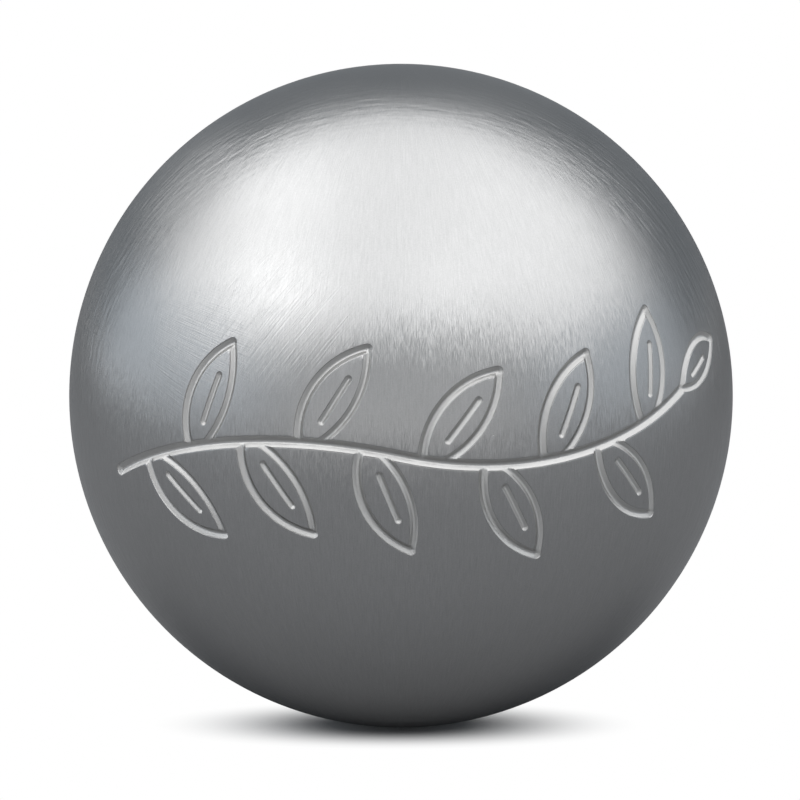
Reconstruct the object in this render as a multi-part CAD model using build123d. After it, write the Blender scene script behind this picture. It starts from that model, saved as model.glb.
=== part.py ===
"""A petanque boule: two forged steel half shells, butt-welded rim to rim, then turned to a true ball.

The frame has +Z up and its origin at the ball's centre. The weld runs round the Y axis, so the front half (-Y)
and the rear half (+Y) each carry an engraved leaf sprig that stays clear of it. Lengths are in millimetres and
angles in degrees.
"""

from build123d import *
import os
from math import asin, atan2, cos, degrees, hypot, radians, sin, sqrt

# Ball
BALL_DIAMETER = 74.0
WALL = 6.0

# Weld: each rim has a flat root face and an outer bevel, and the bead fills the groove between the two rims
ROOT_GAP = 1.2
ROOT_FACE = 1.6
BEVEL_ANGLE = 30.0
ROOT_BEAD_WIDTH = 3.6
ROOT_BEAD_HEIGHT = 0.8

# Ball-nosed engraving cutters, each with the depth that it cuts below the ball's surface. A finer cut runs into
# a wider one: both outlines of a leaf start in the stem, and the fine one ends in the tip of the bold one
STEM_CUTTER_RADIUS = 0.66
STEM_CUT_DEPTH = 0.48
BOLD_CUTTER_RADIUS = 0.55
BOLD_CUT_DEPTH = 0.40
FINE_CUTTER_RADIUS = 0.46
FINE_CUT_DEPTH = 0.34
VEIN_CUTTER_RADIUS = 0.40
VEIN_CUT_DEPTH = 0.28

# Stem, measured over the ball's surface from the middle of the front: along the equator, and up from it
STEM_REACH = 36.0
STEM_RISE = 4.5
STEM_SWAY = 3.0

# Leaves, placed along the stem from its tail, below and above it by turns
LEAF_COUNT = 10
FIRST_LEAF = 5.9
LEAF_SPACING = 6.7
LEAF_LENGTH = 12.5
LEAF_BASE = 2.0
LEAF_LEAN = 56.0
BOLD_BOW = 2.4
FINE_BOW = 1.6
TIP_LEAF_LENGTH = 10.0

# Where a leaf's vein starts, and where it stops short of the leaf's tip
VEIN_START = 2.8
VEIN_TO_TIP = 3.8

outer_radius = BALL_DIAMETER / 2
inner_radius = outer_radius - WALL
half_gap = ROOT_GAP / 2


# Weld bead

# The rim's corners, as (distance from the weld's axis, distance from the weld's plane)
root_inside = (sqrt(inner_radius**2 - half_gap**2), half_gap)
root_outside = (root_inside[0] + ROOT_FACE, half_gap)


def bevel_point(along):
    """The point at that distance along the bevel from the root face's outer edge."""
    angle = radians(BEVEL_ANGLE)
    return root_outside[0] + along * cos(angle), root_outside[1] + along * sin(angle)


def bevel_length():
    """The bevel's length, from the root face out to the ball's surface."""
    angle = radians(BEVEL_ANGLE)
    outward = root_outside[0] * cos(angle) + root_outside[1] * sin(angle)
    return -outward + sqrt(outward**2 + outer_radius**2 - root_outside[0] ** 2 - root_outside[1] ** 2)


def mirrored(point):
    return point[0], -point[1]


def weld_bead():
    """A ring that fills the groove flush with the ball, with a convex root bead standing proud inside."""
    bevel_top = bevel_point(bevel_length())
    toe = (sqrt(inner_radius**2 - (ROOT_BEAD_WIDTH / 2) ** 2), ROOT_BEAD_WIDTH / 2)
    toe_angle = (atan2(toe[1], toe[0]) + atan2(root_inside[1], root_inside[0])) / 2
    toe_middle = (inner_radius * cos(toe_angle), inner_radius * sin(toe_angle))
    outline = [
        ThreePointArc(mirrored(bevel_top), (outer_radius, 0), bevel_top),
        Polyline(bevel_top, root_outside, root_inside),
        ThreePointArc(root_inside, toe_middle, toe),
        ThreePointArc(toe, (inner_radius - ROOT_BEAD_HEIGHT, 0), mirrored(toe)),
        ThreePointArc(mirrored(toe), mirrored(toe_middle), mirrored(root_inside)),
        Polyline(mirrored(root_inside), mirrored(root_outside), mirrored(bevel_top)),
    ]
    return revolve(make_face(outline), axis=Axis.Y)


def weld_groove():
    """The space that both rims are machined back to: the root gap and the bevels, run out past the ball."""
    past_ball = bevel_point(bevel_length() + WALL)
    within = (inner_radius - WALL / 2, half_gap)
    outline = Polyline(
        within,
        root_outside,
        past_ball,
        mirrored(past_ball),
        mirrored(root_outside),
        mirrored(within),
        close=True,
    )
    return revolve(make_face(outline), axis=Axis.Y)


# Engraving

def on_front(point, radius):
    """A point of the sprig, set on a sphere about the ball's centre: the equator's middle faces -Y."""
    longitude = point[0] / outer_radius
    latitude = point[1] / outer_radius
    return Vector(
        radius * cos(latitude) * sin(longitude),
        -radius * cos(latitude) * cos(longitude),
        radius * sin(latitude),
    )


def unrolled(position):
    """The sprig's point that lies under a position in space, the reverse of on_front."""
    longitude = atan2(position.X, -position.Y)
    latitude = asin(position.Z / position.length)
    return outer_radius * longitude, outer_radius * latitude


def from_base(base, heading, along, across=0.0):
    """The sprig's point at those distances along and to the left of a heading, in degrees, from a base."""
    turn = radians(heading)
    return (
        base[0] + along * cos(turn) - across * sin(turn),
        base[1] + along * sin(turn) + across * cos(turn),
    )


def heading_of(start, end):
    return degrees(atan2(end[1] - start[1], end[0] - start[0]))


def bowed(start, end, bow):
    """The start, middle and end of a stroke that bows to its left by that much."""
    reach = hypot(end[0] - start[0], end[1] - start[1])
    return start, from_base(start, heading_of(start, end), reach / 2, bow), end


def cutter_path(strokes, cutter_radius, depth):
    """The line of the cutter's centre over strokes that run on from one another, each a circular arc."""
    height = outer_radius + cutter_radius - depth
    return Wire([ThreePointArc(*[on_front(point, height) for point in stroke]) for stroke in strokes])


def engraved(path, cutter_radius):
    """What a ball-nosed cutter takes out along a path: a bent rod with a half ball on each end."""
    half_ball = Sphere(cutter_radius, arc_size1=0, align=(Align.CENTER, Align.CENTER, Align.MIN))
    section = Plane(origin=path @ 0, x_dir=path @ 0, z_dir=path % 0) * Circle(cutter_radius)
    cut = sweep(section, path=path)
    for end, onward in ((path @ 0, path % 0 * -1), (path @ 1, path % 1)):
        cut += Plane(origin=end, x_dir=end, z_dir=onward) * half_ball
    return cut


def leaf(bold_base, fine_base, tip, side):
    """A leaf's two bowed outlines, which meet at its tip, and its vein. The bold one bows to the side given."""
    middle = ((bold_base[0] + fine_base[0]) / 2, (bold_base[1] + fine_base[1]) / 2)
    heading = heading_of(middle, tip)
    length = hypot(tip[0] - middle[0], tip[1] - middle[1])
    vein = [from_base(middle, heading, along) for along in (VEIN_START, length - VEIN_TO_TIP)]
    strokes = [
        (bowed(bold_base, tip, side * BOLD_BOW), BOLD_CUTTER_RADIUS, BOLD_CUT_DEPTH),
        (bowed(fine_base, tip, -side * FINE_BOW), FINE_CUTTER_RADIUS, FINE_CUT_DEPTH),
        (bowed(*vein, 0.0), VEIN_CUTTER_RADIUS, VEIN_CUT_DEPTH),
    ]
    return [engraved(cutter_path([stroke], radius, depth), radius) for stroke, radius, depth in strokes]


def sprig():
    """The stem, its leaves and the leaf at its tip, as the cuts that a cutter takes one after another."""
    tail, middle, tip = (-STEM_REACH, -STEM_RISE), (0.0, 0.0), (STEM_REACH, STEM_RISE)
    halves = [bowed(tail, middle, STEM_SWAY), bowed(middle, tip, -STEM_SWAY)]
    stem = cutter_path(halves, STEM_CUTTER_RADIUS, STEM_CUT_DEPTH)
    cuts = [engraved(stem, STEM_CUTTER_RADIUS)]
    for index in range(LEAF_COUNT):
        side = 1 if index % 2 else -1
        start = FIRST_LEAF + LEAF_SPACING * index
        places = (start, start + LEAF_BASE)
        bases = [unrolled(stem.position_at(place, PositionMode.LENGTH)) for place in places]
        lean = heading_of(*bases) + side * LEAF_LEAN
        cuts += leaf(*bases, from_base(bases[0], lean, LEAF_LENGTH), side)
    before_tip = unrolled(stem.position_at(stem.length - LEAF_BASE, PositionMode.LENGTH))
    end_tip = from_base(tip, heading_of(before_tip, tip), TIP_LEAF_LENGTH)
    return cuts + leaf(tip, tip, end_tip, 1)


# Half shells

def half_shell():
    """The front half: a hollow ball, machined back to the weld groove, then engraved cut by cut."""
    hollow_ball = Sphere(outer_radius) - Sphere(inner_radius)
    halves = (hollow_ball - weld_groove()).solids().sort_by(Axis.Y)
    shell = halves[0]
    for cut in sprig():
        shell -= cut
    return shell


def main():
    front = half_shell()
    nodes = {
        "front_half_shell": front,
        "rear_half_shell": Rot(Z=180) * front,
        "weld_bead": weld_bead(),
    }
    os.makedirs("parts", exist_ok=True)
    for name, piece in nodes.items():
        export_step(piece, f"parts/{name}.step")
        print(name, "solids", len(piece.solids()), "faces", len(piece.faces()), "volume", round(piece.volume))


main()
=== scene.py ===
"""A petanque boule dressed for the camera: two engraved half shells and the weld that joins them.

Lengths are in millimetres until a mesh, a shader or a lamp takes them, which is in metres. The weld runs
round the Y axis, and the front of the ball faces -Y.
"""

from collections import namedtuple
from math import cos, pi, radians, sin, sqrt

import bpy
import numpy as np
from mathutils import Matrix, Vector
from mathutils.geometry import delaunay_2d_cdt


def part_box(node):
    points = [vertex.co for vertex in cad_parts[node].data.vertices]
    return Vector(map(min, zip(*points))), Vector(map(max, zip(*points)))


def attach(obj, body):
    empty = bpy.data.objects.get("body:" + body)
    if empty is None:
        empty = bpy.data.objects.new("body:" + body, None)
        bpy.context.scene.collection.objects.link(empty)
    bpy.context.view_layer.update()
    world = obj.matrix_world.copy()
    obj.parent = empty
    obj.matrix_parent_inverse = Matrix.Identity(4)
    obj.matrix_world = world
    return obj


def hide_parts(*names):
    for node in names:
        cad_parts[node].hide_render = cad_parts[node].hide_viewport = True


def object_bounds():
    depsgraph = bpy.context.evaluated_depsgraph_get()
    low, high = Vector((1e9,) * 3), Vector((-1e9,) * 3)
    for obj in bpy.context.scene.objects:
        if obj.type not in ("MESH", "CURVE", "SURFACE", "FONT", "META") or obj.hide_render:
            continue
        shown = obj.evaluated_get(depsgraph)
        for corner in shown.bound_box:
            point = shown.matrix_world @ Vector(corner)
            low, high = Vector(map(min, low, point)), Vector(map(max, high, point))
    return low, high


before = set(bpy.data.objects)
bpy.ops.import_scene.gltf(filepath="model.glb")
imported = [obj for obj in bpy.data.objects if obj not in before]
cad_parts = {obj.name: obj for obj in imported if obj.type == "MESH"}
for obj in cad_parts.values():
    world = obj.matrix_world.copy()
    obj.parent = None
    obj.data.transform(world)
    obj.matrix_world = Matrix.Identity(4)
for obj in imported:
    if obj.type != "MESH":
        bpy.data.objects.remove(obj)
cad_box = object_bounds()


# Half shells
# Two forged steel cups with a 6 mm wall, bevelled round the rim for the weld. Once they are joined the ball
# is turned and brushed by hand, and a ball-nosed cutter engraves a leaf sprig across each half.

MM = 0.001
ball_radius = round(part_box("weld_bead")[1].x / MM, 2)
bevel_top = round(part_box("weld_bead")[1].y / MM, 2)
WALL = 6.0
HALF_GAP = 0.6
ROOT_FACE = 1.6
inner_radius = ball_radius - WALL
root_inside = sqrt(inner_radius**2 - HALF_GAP**2)

# Cutters: the nose's radius and the depth of its cut, and the rounding that brushing leaves on a cut's edges
Cutter = namedtuple("Cutter", "radius depth")
STEM_CUTTER = Cutter(0.66, 0.48)
BOLD_CUTTER = Cutter(0.55, 0.40)
FINE_CUTTER = Cutter(0.46, 0.34)
VEIN_CUTTER = Cutter(0.40, 0.28)
EDGE_ROUND = 0.06

# Sprig, drawn over the surface from the middle of the front: across is the real part, and up is the
# imaginary one
STEM_TIP = 36.0 + 4.5j
STEM_SWAY = 3.0
LEAF_COUNT = 10
FIRST_LEAF = 5.9
LEAF_SPACING = 6.7
LEAF_LENGTH = 12.5
LEAF_BASE = 2.0
LEAF_LEAN = radians(56.0)
BOLD_BOW = 2.4
FINE_BOW = 1.6
TIP_LEAF_LENGTH = 10.0
VEIN_START = 2.8
VEIN_TO_TIP = 3.8

# Mesh: steps along a cut and over the open surface, rows down a cut's wall and beside its edge, rays in its
# end, how near two points may come, points round the weld's axis, rows over the inner wall, the bend from
# which an edge is sharp, and the slack within which heights and places are the same
CUT_STEP = 0.3
OPEN_STEP = 0.9
WALL_ROWS = 6
EDGE_ROWS = np.array([0.03, 0.07, 0.25, 0.6])
END_RAYS = 9
CLOSEST = 0.02
RING_POINTS = 320
INNER_ROWS = 40
SHARP_ANGLE = radians(45)
SAME_HEIGHT = 1e-6
SAME_PLACE = 1e-7

# An arc on the ball: its axis, the angle from the axis out to it, the spoke to its middle, the spoke square
# to that one, and half the turn from end to end
Arc = namedtuple("Arc", "axis opening spoke ahead half_turn")


def unit(vector):
    """The vector divided by its own length."""
    return vector / np.linalg.norm(vector)


def facing_front(drawn):
    """Directions from the ball's centre to drawn points: across is an arc of the equator from -Y towards +X,
    and up is an arc from the equator towards +Z."""
    across, up = drawn.real / ball_radius, drawn.imag / ball_radius
    return np.stack([np.cos(up) * np.sin(across), -np.cos(up) * np.cos(across), np.sin(up)], axis=-1)


def bowed(start, end, bow):
    """A stroke's start, middle and end: the middle lies to the left of the straight line by the bow."""
    onward = (end - start) / abs(end - start)
    return np.array([start, (start + end) / 2 + 1j * bow * onward, end])


def arc_through(stroke):
    """The arc on the ball through a stroke's three points. Its axis is square to the chords between them."""
    first, middle, last = facing_front(stroke)
    axis = unit(np.cross(middle - first, last - middle))
    spoke = unit(first + last - 2 * (axis @ first) * axis)
    ahead = np.cross(axis, spoke)
    return Arc(axis, np.arccos(axis @ first), spoke, ahead, np.arctan2(last @ ahead, last @ spoke))


def on_arc(arc, turn, tilt):
    """Directions at a turn along an arc from its middle, tilted out from its axis by a profile's offset."""
    turn, tilt = (angle[..., None] for angle in np.broadcast_arrays(turn, tilt))
    around = np.cos(turn) * arc.spoke + np.sin(turn) * arc.ahead
    return np.cos(arc.opening + tilt) * arc.axis + np.sin(arc.opening + tilt) * around


def nose_height(cutter):
    """How far from the ball's centre the middle of a cutter's round nose runs."""
    return ball_radius + cutter.radius - cutter.depth


stem_strokes = [bowed(-STEM_TIP, 0j, STEM_SWAY), bowed(0j, STEM_TIP, -STEM_SWAY)]
stem_arcs = [arc_through(stroke) for stroke in stem_strokes]
turn_per_length = 1 / (nose_height(STEM_CUTTER) * sin(stem_arcs[0].opening))
half_stem = 2 * stem_arcs[0].half_turn / turn_per_length


def on_stem(place):
    """The drawn point at a length along the stem, whose two arcs are equally long."""
    half, along = divmod(place, half_stem)
    arc = stem_arcs[int(half)]
    x, y, z = on_arc(arc, along * turn_per_length - arc.half_turn, 0.0)
    return ball_radius * complex(np.arctan2(x, -y), np.arcsin(z))


def leaf(bold_base, fine_base, tip, side):
    """A leaf's strokes with their cutters: two outlines that bow apart and meet at the tip, and a straight
    vein."""
    middle = (bold_base + fine_base) / 2
    onward = (tip - middle) / abs(tip - middle)
    return [
        (bowed(bold_base, tip, side * BOLD_BOW), BOLD_CUTTER),
        (bowed(fine_base, tip, -side * FINE_BOW), FINE_CUTTER),
        (bowed(middle + VEIN_START * onward, tip - VEIN_TO_TIP * onward, 0.0), VEIN_CUTTER),
    ]


def sprig():
    """The stem's two strokes, a leaf below and above it by turns, and the leaf at its tip."""
    strokes = [(stroke, STEM_CUTTER) for stroke in stem_strokes]
    for index in range(LEAF_COUNT):
        side = 1 if index % 2 else -1
        start = FIRST_LEAF + LEAF_SPACING * index
        base, next_base = on_stem(start), on_stem(start + LEAF_BASE)
        lean = (next_base - base) / abs(next_base - base) * np.exp(1j * side * LEAF_LEAN)
        strokes += leaf(base, next_base, base + LEAF_LENGTH * lean, side)
    before_tip = on_stem(2 * half_stem - LEAF_BASE)
    onward = (STEM_TIP - before_tip) / abs(STEM_TIP - before_tip)
    return strokes + leaf(STEM_TIP, STEM_TIP, STEM_TIP + TIP_LEAF_LENGTH * onward, 1)


def nose_rows(cutter):
    """Offsets, as angles at the ball's centre, of points spread evenly round a cutter's nose, from the cut's
    line out to its edge, where the nose comes out of the ball."""
    radius, height = cutter.radius, nose_height(cutter)
    edge = np.arccos((height**2 + radius**2 - ball_radius**2) / (2 * height * radius))
    round_nose = np.linspace(0, edge, WALL_ROWS + 1)[1:]
    return np.arctan2(radius * np.sin(round_nose), height - radius * np.cos(round_nose))


def cut_points(arc, cutter):
    """Directions all over one cut: a profile's offsets carried along its arc, then the same offsets on rays
    that fan out from each of its ends."""
    walls = nose_rows(cutter)
    offsets = np.concatenate([walls, walls[-1] + EDGE_ROWS / ball_radius])
    profile = np.concatenate([-offsets[::-1], [0.0], offsets])
    stations = 2 + int(2 * arc.half_turn * sin(arc.opening) * ball_radius / CUT_STEP)
    turns = np.linspace(-arc.half_turn, arc.half_turn, stations)
    points = [on_arc(arc, turns[:, None], profile[None, :])]
    rays = np.linspace(-pi / 2, pi / 2, END_RAYS + 2)[1:-1, None, None]
    for end_turn in (-arc.half_turn, arc.half_turn):
        end = on_arc(arc, end_turn, 0.0)
        beside = on_arc(arc, end_turn, pi / 2)
        onward = np.cross(beside, end) * -np.sign(end_turn)
        fan = np.cos(rays) * onward + np.sin(rays) * beside
        points.append(np.cos(offsets)[:, None] * end + np.sin(offsets)[:, None] * fan)
    return np.concatenate([grid.reshape(-1, 3) for grid in points])


def cut_height(directions, arc, cutter):
    """How far from the ball's centre the metal ends in each direction, as one cut leaves it. At an angle a
    off the cut's line that is h cos a - sqrt(r^2 - (h sin a)^2), for a cutter of radius r whose nose runs at
    height h. Beside the cut it is the ball's radius and the distance from the cut's edge, added up."""
    height = nose_height(cutter)
    turn = np.arctan2(directions @ arc.ahead, directions @ arc.spoke)
    nearer_end = on_arc(arc, np.sign(turn) * arc.half_turn, 0.0)
    past_end = np.arccos(np.clip((directions * nearer_end).sum(axis=-1), -1, 1))
    off_arc = abs(np.arccos(directions @ arc.axis) - arc.opening)
    off_line = np.where(abs(turn) > arc.half_turn, past_end, off_arc)
    below_nose = np.sqrt(np.clip(cutter.radius**2 - (height * np.sin(off_line)) ** 2, 0, None))
    within = height * np.cos(off_line) - below_nose
    edge = nose_rows(cutter)[-1]
    return np.where(off_line < edge, within, ball_radius * (1 + off_line - edge))


def open_points():
    """Directions spread over the front half in a spiral: even steps to the weld, a golden angle apart."""
    to_weld = 1 - bevel_top / ball_radius
    count = int(2 * pi * to_weld * ball_radius**2 / OPEN_STEP**2)
    step = np.arange(count) + 0.5
    forward = 1 - to_weld * step / count
    aside = np.sqrt(1 - forward**2)
    turn = step * pi * (3 - sqrt(5))
    directions = np.stack([aside * np.cos(turn), -forward, aside * np.sin(turn)], axis=-1)
    return directions[forward * ball_radius > bevel_top + OPEN_STEP / 2]


def ring(radius, forward):
    """Points round the weld's axis, counted the way that turns X to Z."""
    turn = np.arange(RING_POINTS) * 2 * pi / RING_POINTS
    return np.stack([radius * np.cos(turn), np.full(RING_POINTS, -forward), radius * np.sin(turn)], axis=-1)


def engraved_face():
    """The front half's outer face. Its directions lie along every cut and between the cuts; a cut keeps only
    the points where no other cut goes deeper. Each point's height is the lowest that the cuts leave, rounded
    off into the ball's own. The triangles are the even ones of the stereographic map, which keeps circles
    round, once points that all but touch are thinned out."""
    cuts = [(arc_through(stroke), cutter) for stroke, cutter in sprig()]
    groups = [cut_points(*cut) for cut in cuts] + [open_points()]
    owner = np.repeat(np.arange(len(groups)), [len(group) for group in groups])
    spread = np.concatenate(groups)
    heights = np.stack([cut_height(spread, *cut) for cut in cuts], axis=-1)
    lowest = heights.min(axis=-1)
    clear_of_cuts = lowest > ball_radius + EDGE_ROWS[-1] + OPEN_STEP / 3
    own_height = np.column_stack([heights, np.where(clear_of_cuts, lowest, np.inf)])
    kept = own_height[np.arange(len(spread)), owner] <= lowest + SAME_HEIGHT
    kept &= -spread[:, 1] * ball_radius > bevel_top + EDGE_ROWS[-1] / 2
    rim = unit(np.array([sqrt(ball_radius**2 - bevel_top**2), bevel_top]))
    directions = np.concatenate([ring(*rim), spread[kept]])
    lowest = np.concatenate([np.full(RING_POINTS, np.inf), lowest[kept]])
    near_edge = np.clip(EDGE_ROUND - abs(ball_radius - lowest), 0, None)
    radius = np.minimum(ball_radius, lowest) - near_edge**2 / (4 * EDGE_ROUND)
    engraved = np.clip((ball_radius - lowest) / EDGE_ROUND, 0, 1)
    flat_map = 2 * ball_radius * directions[:, [0, 2]] / (1 - directions[:, 1:2])
    apart = np.sort(np.unique(np.round(flat_map / CLOSEST), axis=0, return_index=True)[1])
    triangles = delaunay_2d_cdt(flat_map[apart].tolist(), [], [], 0, SAME_PLACE, False)[2]
    return (directions * radius[:, None])[apart], np.array(triangles), engraved[apart]


def half_shell_mesh(name):
    """The engraved face, closed from its rim by rings down the bevel and the root face and over the inner
    half sphere to its pole. Each point is marked with how far it lies in a cut, from 0 to 1."""
    face, triangles, engraved = engraved_face()
    latitudes = np.linspace(np.arcsin(HALF_GAP / inner_radius), pi / 2, INNER_ROWS)[:-1]
    rings = [ring(root_inside + ROOT_FACE, HALF_GAP)]
    rings += [ring(inner_radius * cos(latitude), inner_radius * sin(latitude)) for latitude in latitudes]
    pole = np.array([[0.0, -inner_radius, 0.0]])
    points = np.concatenate([face, *rings, pole])
    around = np.arange(RING_POINTS)
    onward = np.roll(around, -1)
    firsts = [0] + [len(face) + RING_POINTS * index for index in range(len(rings))]
    quads = [
        np.stack([onward + outer, around + outer, around + inner, onward + inner], axis=-1)
        for outer, inner in zip(firsts[:-1], firsts[1:])
    ]
    to_pole = np.full(RING_POINTS, len(points) - 1)
    cap = np.stack([onward + firsts[-1], around + firsts[-1], to_pole], axis=-1)
    mesh = bpy.data.meshes.new(name)
    faces = triangles.tolist() + np.concatenate(quads).tolist() + cap.tolist()
    mesh.from_pydata((points * MM).tolist(), [], faces)
    inside = np.arange(len(faces)) >= len(triangles)
    mesh.polygons.foreach_set("material_index", inside.astype(np.int32))
    marks = mesh.attributes.new("engraved", "FLOAT", "POINT")
    marks.data.foreach_set("value", np.concatenate([engraved, np.zeros(len(points) - len(face))]))
    mesh.polygons.foreach_set("use_smooth", np.ones(len(faces), bool))
    mesh.set_sharp_from_angle(angle=SHARP_ANGLE)
    return mesh


# Brush strokes: their width, length and depth, and the turn of the axis that they run along. The upright
# ones run from pole to pole. The hand slipped round in two patches, each given by its middle on the ball and
# its reach
Brush = namedtuple("Brush", "width length depth turn")
UPRIGHT_BRUSH = Brush(0.1, 2.2, 0.017, (0, 0, 0))
SLANTING_BRUSH = Brush(0.1, 4.0, 0.030, (0, radians(-36), 0))
LEVEL_BRUSH = Brush(0.1, 2.5, 0.022, (0, radians(-112), 0))
WELD_BRUSH = Brush(3.2, 0.75, 0.115, (radians(90), 0, 0))
SLANTING_PATCH = ((-14, -31, 15), 16)
LEVEL_PATCH = ((-22, -28, 9), 10)
PATCH_CORE = 0.3

# The heights up the ball where strokes stop and where they are full, the distances from the weld's plane
# where the rough band stops and where it is full, and the share of that band that is left at the poles
POLE_HEIGHTS = (36, 28)
WELD_BAND = (22, 9)
WELD_BAND_AT_POLES = 0.25

# The finest strokes, which cross one another and lean up or down by a slope, less in the patches
LEAN_WIDTH = 0.06
LEAN_LENGTH = 0.9
LEAN_SLANTS = (radians(8), radians(-10))
LEAN_SLOPE = 0.26
LEAN_IN_PATCHES = 0.25

# Nicks: how far apart, their share of that in size, and their depth
NICK_SPACING = 3.0
NICK_SIZE = 0.025
NICK_DEPTH = 0.04

# The steel's tone, how far it strays, and the strokes and the grain by which it does, then the blotches in
# which it is more and less rough
STEEL = np.array([0.452, 0.45, 0.448])
TONE_STRAY = 0.22
TONE_STROKE_WIDTH = 0.11
TONE_STROKE_LENGTH = 1.6
TONE_GRAIN = 0.14
SHINE_BLOTCH = 14.0
SKIN_ROUGHNESS = (0.27, 0.37)

# A cut's walls: the slope that they are shaded at, the true steepness from which they are, their tone, their
# roughness, how far feed marks spread the shine along the cut, and the cutter's chatter
WALL_SLOPE = 0.75
WALL_STEEPNESS = 0.4
CUT_TONE = (0.6, 0.595, 0.585, 1)
CUT_ROUGHNESS = 0.48
SHINE_SPREAD = 0.88
CHATTER_SIZE = 0.16
CHATTER_DEPTH = 0.015
NEVER_ZERO = (1e-4, 0, 1e-4)


def node(tree, kind, sockets=None, **properties):
    """A new shader node: a socket is given a value, or another node's output to be joined to."""
    made = tree.nodes.new("ShaderNode" + kind)
    for name, value in properties.items():
        setattr(made, name, value)
    for name, value in (sockets or {}).items():
        if isinstance(value, bpy.types.NodeSocket):
            tree.links.new(value, made.inputs[name])
        else:
            made.inputs[name].default_value = value
    return made


def number(tree, operation, *values):
    """A number, worked out from others by one operation."""
    return node(tree, "Math", dict(enumerate(values)), operation=operation).outputs[0]


def vector(tree, operation, *values):
    """A vector, worked out from others by one operation."""
    return node(tree, "VectorMath", dict(enumerate(values)), operation=operation).outputs[0]


def span(tree, operation, *values):
    """A vector's length, or the distance between two places."""
    return node(tree, "VectorMath", dict(enumerate(values)), operation=operation).outputs["Value"]


def between(tree, share, start, end):
    """The number that far from start to end."""
    return node(tree, "Mix", {0: share, 2: start, 3: end}, data_type="FLOAT").outputs[0]


def tone_between(tree, share, start, end):
    """The colour that far from start to end."""
    return node(tree, "Mix", {0: share, 6: start, 7: end}, data_type="RGBA").outputs[2]


def stepped(tree, value, low, high):
    """0 up to low and 1 from high on, with a smooth rise between. Where low is the greater, it falls."""
    sockets = {"Value": value, "From Min": low, "From Max": high}
    return node(tree, "MapRange", sockets, interpolation_type="SMOOTHSTEP").outputs[0]


def noise(tree, place, size, detail):
    """Noise whose blotches are about that size across."""
    return node(tree, "TexNoise", {"Vector": place, "Scale": 1 / (size * MM), "Detail": detail}).outputs[0]


def strokes(tree, place, width, length, turn=(0, 0, 0)):
    """Noise drawn out into strokes. It is read by the direction round an axis, in steps of the width, and by
    the height along it, in steps of the length, so strokes run from pole to pole, or round and round where
    they are wider than long. The axis is upright until it is turned."""
    upright = node(tree, "Mapping", {"Vector": place, "Rotation": turn}).outputs[0]
    spoke = vector(tree, "NORMALIZE", vector(tree, "MULTIPLY", upright, (1, 1, 0)))
    height = vector(tree, "MULTIPLY", upright, (0, 0, 1 / (length * MM)))
    around = ball_radius / width
    drawn_out = vector(tree, "MULTIPLY_ADD", spoke, (around, around, 0), height)
    return node(tree, "TexNoise", {"Vector": drawn_out, "Scale": 1.0, "Detail": 1.0}).outputs[0]


def near(tree, place, patch):
    """1 in the core of a patch on the ball, falling to 0 at its reach."""
    middle, reach = patch
    distance = span(tree, "DISTANCE", place, [MM * length for length in middle])
    return stepped(tree, distance, reach * MM, PATCH_CORE * reach * MM)


def brush_marks(tree, place):
    """The brushed surface's relief in metres, and the slope by which its finest strokes lean up or down.
    Each brush's strokes are added where it worked: off the poles, in the two patches and beside the weld,
    where the surface is uneven. There are a few nicks too."""
    slanting = near(tree, place, SLANTING_PATCH)
    level = near(tree, place, LEVEL_PATCH)
    combed = number(tree, "SUBTRACT", 1.0, number(tree, "MAXIMUM", slanting, level))
    across = node(tree, "SeparateXYZ", {0: place}).outputs
    off_poles = stepped(tree, number(tree, "ABSOLUTE", across[2]), *[MM * height for height in POLE_HEIGHTS])
    beside_weld = stepped(tree, number(tree, "ABSOLUTE", across[1]), *[MM * off for off in WELD_BAND])
    beside_weld = number(tree, "MULTIPLY", beside_weld, between(tree, off_poles, WELD_BAND_AT_POLES, 1.0))

    nicks = node(tree, "TexVoronoi", {"Vector": place, "Scale": 1 / (NICK_SPACING * MM)}).outputs["Distance"]
    relief = number(tree, "MULTIPLY", stepped(tree, nicks, 0.0, NICK_SIZE), NICK_DEPTH * MM)
    worked = [
        (UPRIGHT_BRUSH, off_poles),
        (SLANTING_BRUSH, slanting),
        (LEVEL_BRUSH, level),
        (WELD_BRUSH, beside_weld),
    ]
    for brush, share in worked:
        marks = number(tree, "MULTIPLY", strokes(tree, place, brush.width, brush.length, brush.turn), share)
        relief = number(tree, "MULTIPLY_ADD", marks, brush.depth * MM, relief)
    crossed = [strokes(tree, place, LEAN_WIDTH, LEAN_LENGTH, (0, slant, 0)) for slant in LEAN_SLANTS]
    lean = number(tree, "MULTIPLY_ADD", number(tree, "ADD", *crossed), LEAN_SLOPE, -LEAN_SLOPE)
    return relief, number(tree, "MULTIPLY", lean, between(tree, combed, LEAN_IN_PATCHES, 1.0))


def shaded_normal(tree, place, lean, cut):
    """The normal to shade with, and the direction along a cut. A fine stroke leans the normal up or down by
    its slope. A cut's walls are shaded at an even slope each side of a narrow bottom, as the scallops that
    the cutter leaves make them look: the part of the normal that points away from the ball's own is brought
    to that slope. Along the cut is square to that part and to the ball's own normal, and is never quite
    zero."""
    normal = node(tree, "NewGeometry").outputs["Normal"]
    leant = vector(tree, "MULTIPLY_ADD", lean, (0, 0, 1), normal)
    outward = vector(tree, "NORMALIZE", place)
    aside = vector(tree, "CROSS_PRODUCT", outward, vector(tree, "CROSS_PRODUCT", normal, outward))
    steep = stepped(tree, span(tree, "LENGTH", aside), 0.0, WALL_STEEPNESS)
    slope = number(tree, "MULTIPLY", steep, WALL_SLOPE)
    wall = vector(tree, "MULTIPLY_ADD", vector(tree, "NORMALIZE", aside), slope, outward)
    mixed = node(tree, "Mix", {0: cut, 4: leant, 5: wall}, data_type="VECTOR").outputs[1]
    along = vector(tree, "ADD", vector(tree, "CROSS_PRODUCT", outward, aside), NEVER_ZERO)
    return vector(tree, "NORMALIZE", mixed), along


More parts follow.
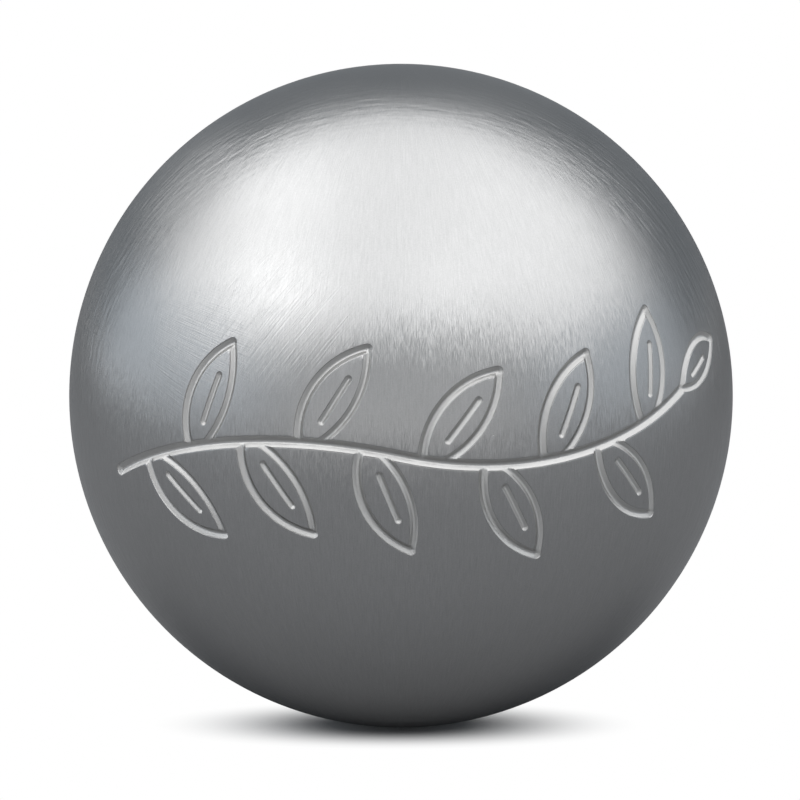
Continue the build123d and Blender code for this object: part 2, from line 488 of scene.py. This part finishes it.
def new_material(name):
    """A new material, its node tree and its shader."""
    material = bpy.data.materials.new(name)
    material.use_nodes = True
    return material, material.node_tree, material.node_tree.nodes["Principled BSDF"]


def brushed_steel(name):
    """Satin steel, brushed by hand: strokes and an even grain, half and half, vary its tone. Cut walls are a
    little warmer, with the cutter's chatter in place of strokes and their shine spread along the cut."""
    material, tree, shader = new_material(name)
    place = node(tree, "TexCoord").outputs["Object"]
    cut = node(tree, "Attribute", attribute_name="engraved").outputs["Fac"]

    tone_strokes = strokes(tree, place, TONE_STROKE_WIDTH, TONE_STROKE_LENGTH)
    grain = between(tree, 0.5, tone_strokes, noise(tree, place, TONE_GRAIN, 1.0))
    darker, paler = [(*(STEEL * share), 1) for share in (1 - TONE_STRAY, 1 + TONE_STRAY)]
    tone = tone_between(tree, cut, tone_between(tree, grain, darker, paler), CUT_TONE)
    skin_roughness = between(tree, noise(tree, place, SHINE_BLOTCH, 1.0), *SKIN_ROUGHNESS)
    chatter = number(tree, "MULTIPLY", noise(tree, place, CHATTER_SIZE, 2.0), CHATTER_DEPTH * MM)
    relief, lean = brush_marks(tree, place)
    normal, along = shaded_normal(tree, place, lean, cut)
    height = between(tree, cut, relief, chatter)
    bump = node(tree, "Bump", {"Height": height, "Distance": 1.0, "Normal": normal}).outputs[0]
    tree.links.new(tone, shader.inputs["Base Color"])
    tree.links.new(between(tree, cut, skin_roughness, CUT_ROUGHNESS), shader.inputs["Roughness"])
    tree.links.new(bump, shader.inputs["Normal"])
    tree.links.new(number(tree, "MULTIPLY", cut, SHINE_SPREAD), shader.inputs["Anisotropic"])
    tree.links.new(along, shader.inputs["Tangent"])
    shader.inputs["Metallic"].default_value = 1.0
    return material


# Forge scale: its blotches' size, where one gives way to the other, their tones, and how rough, metallic and
# high they are
SCALE_BLOTCH = 4.0
SCALE_EDGE = (0.4, 0.62)
SCALE_TONE = (0.09, 0.095, 0.105, 1)
BARE_TONE = (0.2, 0.19, 0.18, 1)
SCALE_ROUGHNESS = (0.75, 0.5)
SCALE_METALLIC = 0.7
SCALE_RELIEF = 0.12


def forged_scale(name):
    """Dull blue-grey scale that the forge leaves on metal that is never finished, in blotches over steel."""
    material, tree, shader = new_material(name)
    place = node(tree, "TexCoord").outputs["Object"]
    blotches = noise(tree, place, SCALE_BLOTCH, 5.0)
    tone = tone_between(tree, stepped(tree, blotches, *SCALE_EDGE), SCALE_TONE, BARE_TONE)
    bump = node(tree, "Bump", {"Height": blotches, "Distance": SCALE_RELIEF * MM}).outputs[0]
    tree.links.new(tone, shader.inputs["Base Color"])
    tree.links.new(between(tree, blotches, *SCALE_ROUGHNESS), shader.inputs["Roughness"])
    tree.links.new(bump, shader.inputs["Normal"])
    shader.inputs["Metallic"].default_value = SCALE_METALLIC
    return material


def show(name, mesh, materials, replaced):
    """A finished piece: its mesh in place at the origin, standing for its CAD node on the one body."""
    piece = bpy.data.objects.new(name, mesh)
    bpy.context.scene.collection.objects.link(piece)
    for material in materials:
        mesh.materials.append(material)
    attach(piece, "root")
    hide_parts(replaced)


# The rear half is the front one turned half a turn about Z, which reverses X and Y
HALF_TURN = np.array([-1, -1, 1], np.float32)
shell_finish = [brushed_steel("brushed_shell"), forged_scale("forged_inside")]
front_mesh = half_shell_mesh("front_shell")
rear_mesh = front_mesh.copy()
rear_mesh.name = "rear_shell"
front_points = np.empty(3 * len(front_mesh.vertices), np.float32)
front_mesh.vertices.foreach_get("co", front_points)
rear_mesh.vertices.foreach_set("co", (front_points.reshape(-1, 3) * HALF_TURN).ravel())
rear_mesh.update()
show("front_shell", front_mesh, shell_finish, "front_half_shell")
show("rear_shell", rear_mesh, shell_finish, "rear_half_shell")


# Weld
# A full-penetration butt weld of steel filler in the groove between the two bevelled rims. Outside it is
# turned and brushed flush with the ball; inside its root bead stands proud in ripples, as it was left.

BEAD_HALF_WIDTH = 1.8
BEAD_HEIGHT = 0.8
RIPPLE = 0.08
RIPPLES = 160
CROWN_POINTS = 9
BEAD_POINTS = 11


def weld_mesh(name):
    """The groove's section carried round the weld's axis. The root bead is a parabola across, and a sine
    wave round the ring raises and lowers it."""
    toe = sqrt(inner_radius**2 - BEAD_HALF_WIDTH**2)
    crown_angle = np.arcsin(bevel_top / ball_radius)
    crown = ball_radius * np.exp(1j * np.linspace(-crown_angle, crown_angle, CROWN_POINTS))
    side = np.array([root_inside + ROOT_FACE + 1j * HALF_GAP, root_inside + 1j * HALF_GAP])
    across = np.linspace(BEAD_HALF_WIDTH, -BEAD_HALF_WIDTH, BEAD_POINTS)
    rise = 1 - (across / BEAD_HALF_WIDTH) ** 2
    root_bead = toe - (BEAD_HEIGHT - (inner_radius - toe)) * rise + 1j * across
    section = np.concatenate([crown, side, root_bead, side[::-1].conj()])
    wave = np.concatenate([np.zeros(len(crown) + len(side)), RIPPLE * rise, np.zeros(len(side))])
    turn = np.arange(RING_POINTS)[:, None] * 2 * pi / RING_POINTS
    radius = section.real + wave * np.sin(RIPPLES * turn)
    forward = np.broadcast_to(section.imag, radius.shape)
    points = np.stack([radius * np.cos(turn), forward, radius * np.sin(turn)], axis=-1)
    index = np.arange(radius.size).reshape(radius.shape)
    onward, beside = np.roll(index, -1, axis=0), np.roll(index, -1, axis=1)
    quads = np.stack([index, beside, np.roll(onward, -1, axis=1), onward], axis=-1).reshape(-1, 4)
    mesh = bpy.data.meshes.new(name)
    mesh.from_pydata((points.reshape(-1, 3) * MM).tolist(), [], quads.tolist())
    mesh.polygons.foreach_set("use_smooth", np.ones(len(quads), bool))
    mesh.set_sharp_from_angle(angle=SHARP_ANGLE)
    return mesh


show("weld", weld_mesh("weld"), [brushed_steel("brushed_weld")], "weld_bead")


# Studio
# A plain pale floor under a wide overhead softbox that is brighter in places, with cool panels left and
# right and one behind the camera. A grey card that only the metal sees lies over the floor: a painted dark
# reflection that keeps the steel ball's underside dark, while the camera sees the floor pale.

FLOOR_HALF = 4000.0
FLOOR_TONE = (0.85, 0.85, 0.85)
floor_height = cad_box[0].z / MM


def card(name, left, right, near_edge, far_edge, height, colour):
    """A flat level sheet of matt card, given by its four edges and its height."""
    corners = [(left, near_edge), (right, near_edge), (right, far_edge), (left, far_edge)]
    mesh = bpy.data.meshes.new(name)
    mesh.from_pydata([(x * MM, y * MM, height * MM) for x, y in corners], [], [(0, 1, 2, 3)])
    material, _, shader = new_material(name)
    shader.inputs["Base Color"].default_value = (*colour, 1)
    shader.inputs["Roughness"].default_value = 1.0
    shader.inputs["Specular IOR Level"].default_value = 0.0
    mesh.materials.append(material)
    flat = bpy.data.objects.new(name, mesh)
    bpy.context.scene.collection.objects.link(flat)
    return flat


def over_floor(tree, middle, depth):
    """The distance over the floor from a middle, with its part along Y multiplied by the depth."""
    place = node(tree, "TexCoord").outputs["Object"]
    stretch = (1, depth, 0)
    to_middle = [-MM * share * length for share, length in zip(stretch, middle)]
    return span(tree, "LENGTH", vector(tree, "MULTIPLY_ADD", place, stretch, to_middle))


# In an oval round the ball's foot the floor keeps its lit shade, and further off it is plain white to every
# ray that shows it
SHADE_KEPT = 7.0
SHADE_GONE = 28.0
SHADE_DEPTH = 2.3
SHADE_MIDDLE = (-0.6, -3.1, 0)
floor = card("floor", -FLOOR_HALF, FLOOR_HALF, -FLOOR_HALF, FLOOR_HALF, floor_height, FLOOR_TONE)
floor_tree = floor.data.materials[0].node_tree
ray = node(floor_tree, "LightPath").outputs
shown = number(floor_tree, "ADD", ray["Is Camera Ray"], ray["Is Glossy Ray"])
shown = number(floor_tree, "ADD", shown, ray["Is Transmission Ray"])
shade_reach = over_floor(floor_tree, SHADE_MIDDLE, SHADE_DEPTH)
off_shade = stepped(floor_tree, shade_reach, SHADE_KEPT * MM, SHADE_GONE * MM)
whitened = number(floor_tree, "MULTIPLY", shown, off_shade)
lit = floor_tree.nodes["Principled BSDF"].outputs[0]
white = node(floor_tree, "Emission", {"Strength": 1.0}).outputs[0]
floor_shade = node(floor_tree, "MixShader", {0: whitened, 1: lit, 2: white}).outputs[0]
floor_tree.links.new(floor_shade, floor_tree.nodes["Material Output"].inputs["Surface"])

# The card has a faint glow, painted light that stands in for the room's light on it, and the glow fades out
# in an oval under the ball as the ball's painted shade
CARD_HALF = 950.0
CARD_NEAR = -400.0
CARD_ABOVE_FLOOR = 0.05
CARD_TONE = (0.176, 0.18, 0.187)
CARD_PAINTED_LIGHT = 0.07
GLOW_STARTS = 21.0
GLOW_FULL = 63.0
GLOW_DEPTH = 3.0
card_height = floor_height + CARD_ABOVE_FLOOR
grey_card = card("grey_card", -CARD_HALF, CARD_HALF, CARD_NEAR, FLOOR_HALF, card_height, CARD_TONE)
card_tree = grey_card.data.materials[0].node_tree
glow_reach = over_floor(card_tree, (0, 0, 0), GLOW_DEPTH)
# Painted shade: the painted glow is taken away close to the ball's foot, where the ball would shade the card
painted_light_share = stepped(card_tree, glow_reach, GLOW_STARTS * MM, GLOW_FULL * MM)
card_painted_light = number(card_tree, "MULTIPLY", painted_light_share, CARD_PAINTED_LIGHT)
card_tree.links.new(card_painted_light, card_tree.nodes["Principled BSDF"].inputs["Emission Strength"])
# Painted dark reflection: the card is hidden from the camera, from diffuse light and from shadows, and shows
# only in the metal
grey_card.visible_camera = False
grey_card.visible_diffuse = False
grey_card.visible_shadow = False


def softbox(name, centre, facing, size, radiance, tint=(1, 1, 1)):
    """A flat lamp that faces one way. A flat lamp of power P and area A shines at P / (pi A)."""
    lamp = bpy.data.lights.new(name, "AREA")
    lamp.shape = "RECTANGLE"
    lamp.color = tint
    lamp.size, lamp.size_y = [length * MM for length in size]
    lamp.energy = radiance * pi * lamp.size * lamp.size_y
    hung = bpy.data.objects.new(name, lamp)
    hung.location = Vector(centre) * MM
    hung.rotation_mode = "QUATERNION"
    hung.rotation_quaternion = Vector(facing).to_track_quat("-Z", "Y")
    bpy.context.scene.collection.objects.link(hung)


DOWN, BACK, RIGHT, LEFT = (0, 0, -1), (0, 1, 0), (1, 0, 0), (-1, 0, 0)
COOL = (0.91, 1.0, 1.09)
WALL_LIGHT = (0.18, 0.198, 0.216, 1)
softbox("overhead", (0, -188, 300), DOWN, (1480, 705), 1.52)
softbox("overhead_left", (-320, -225, 298), DOWN, (240, 250), 1.1)
softbox("overhead_back", (-190, 40, 298), DOWN, (170, 240), 0.5)
softbox("overhead_far", (-420, 430, 298), DOWN, (320, 360), 0.55)
softbox("overhead_middle", (110, -350, 298), DOWN, (140, 260), 0.5)
softbox("overhead_right", (230, -60, 298), DOWN, (330, 380), 0.13)
softbox("front", (0, -1500, 230), BACK, (2600, 530), 0.5)
softbox("left", (-1300, -100, 260), RIGHT, (2000, 600), 0.62, COOL)
softbox("right", (1300, -250, 230), LEFT, (1700, 530), 0.48, COOL)
world = bpy.data.worlds.new("studio_walls")
world.use_nodes = True
world.node_tree.nodes["Background"].inputs["Color"].default_value = WALL_LIGHT
bpy.context.scene.world = world


# Camera
# A long lens about 0.6 m away, 10 degrees above level. It is aimed a little low, so that the ball sits in
# the frame as it was photographed.

CAMERA_DISTANCE = 600.0
CAMERA_ELEVATION = radians(10)
LENS = 241.7
SENSOR_WIDTH = 36.0
AIM = (-0.11, 0.0, -0.50)

camera = bpy.data.objects.new("camera", bpy.data.cameras.new("camera"))
camera.data.lens = LENS
camera.data.sensor_width = SENSOR_WIDTH
away = Vector((0, -cos(CAMERA_ELEVATION), sin(CAMERA_ELEVATION)))
camera.location = away * CAMERA_DISTANCE * MM
camera.rotation_mode = "QUATERNION"
camera.rotation_quaternion = (Vector(AIM) * MM - camera.location).to_track_quat("-Z", "Y")
bpy.context.scene.collection.objects.link(camera)
bpy.context.scene.camera = camera
bpy.context.scene.view_settings.view_transform = "Standard"
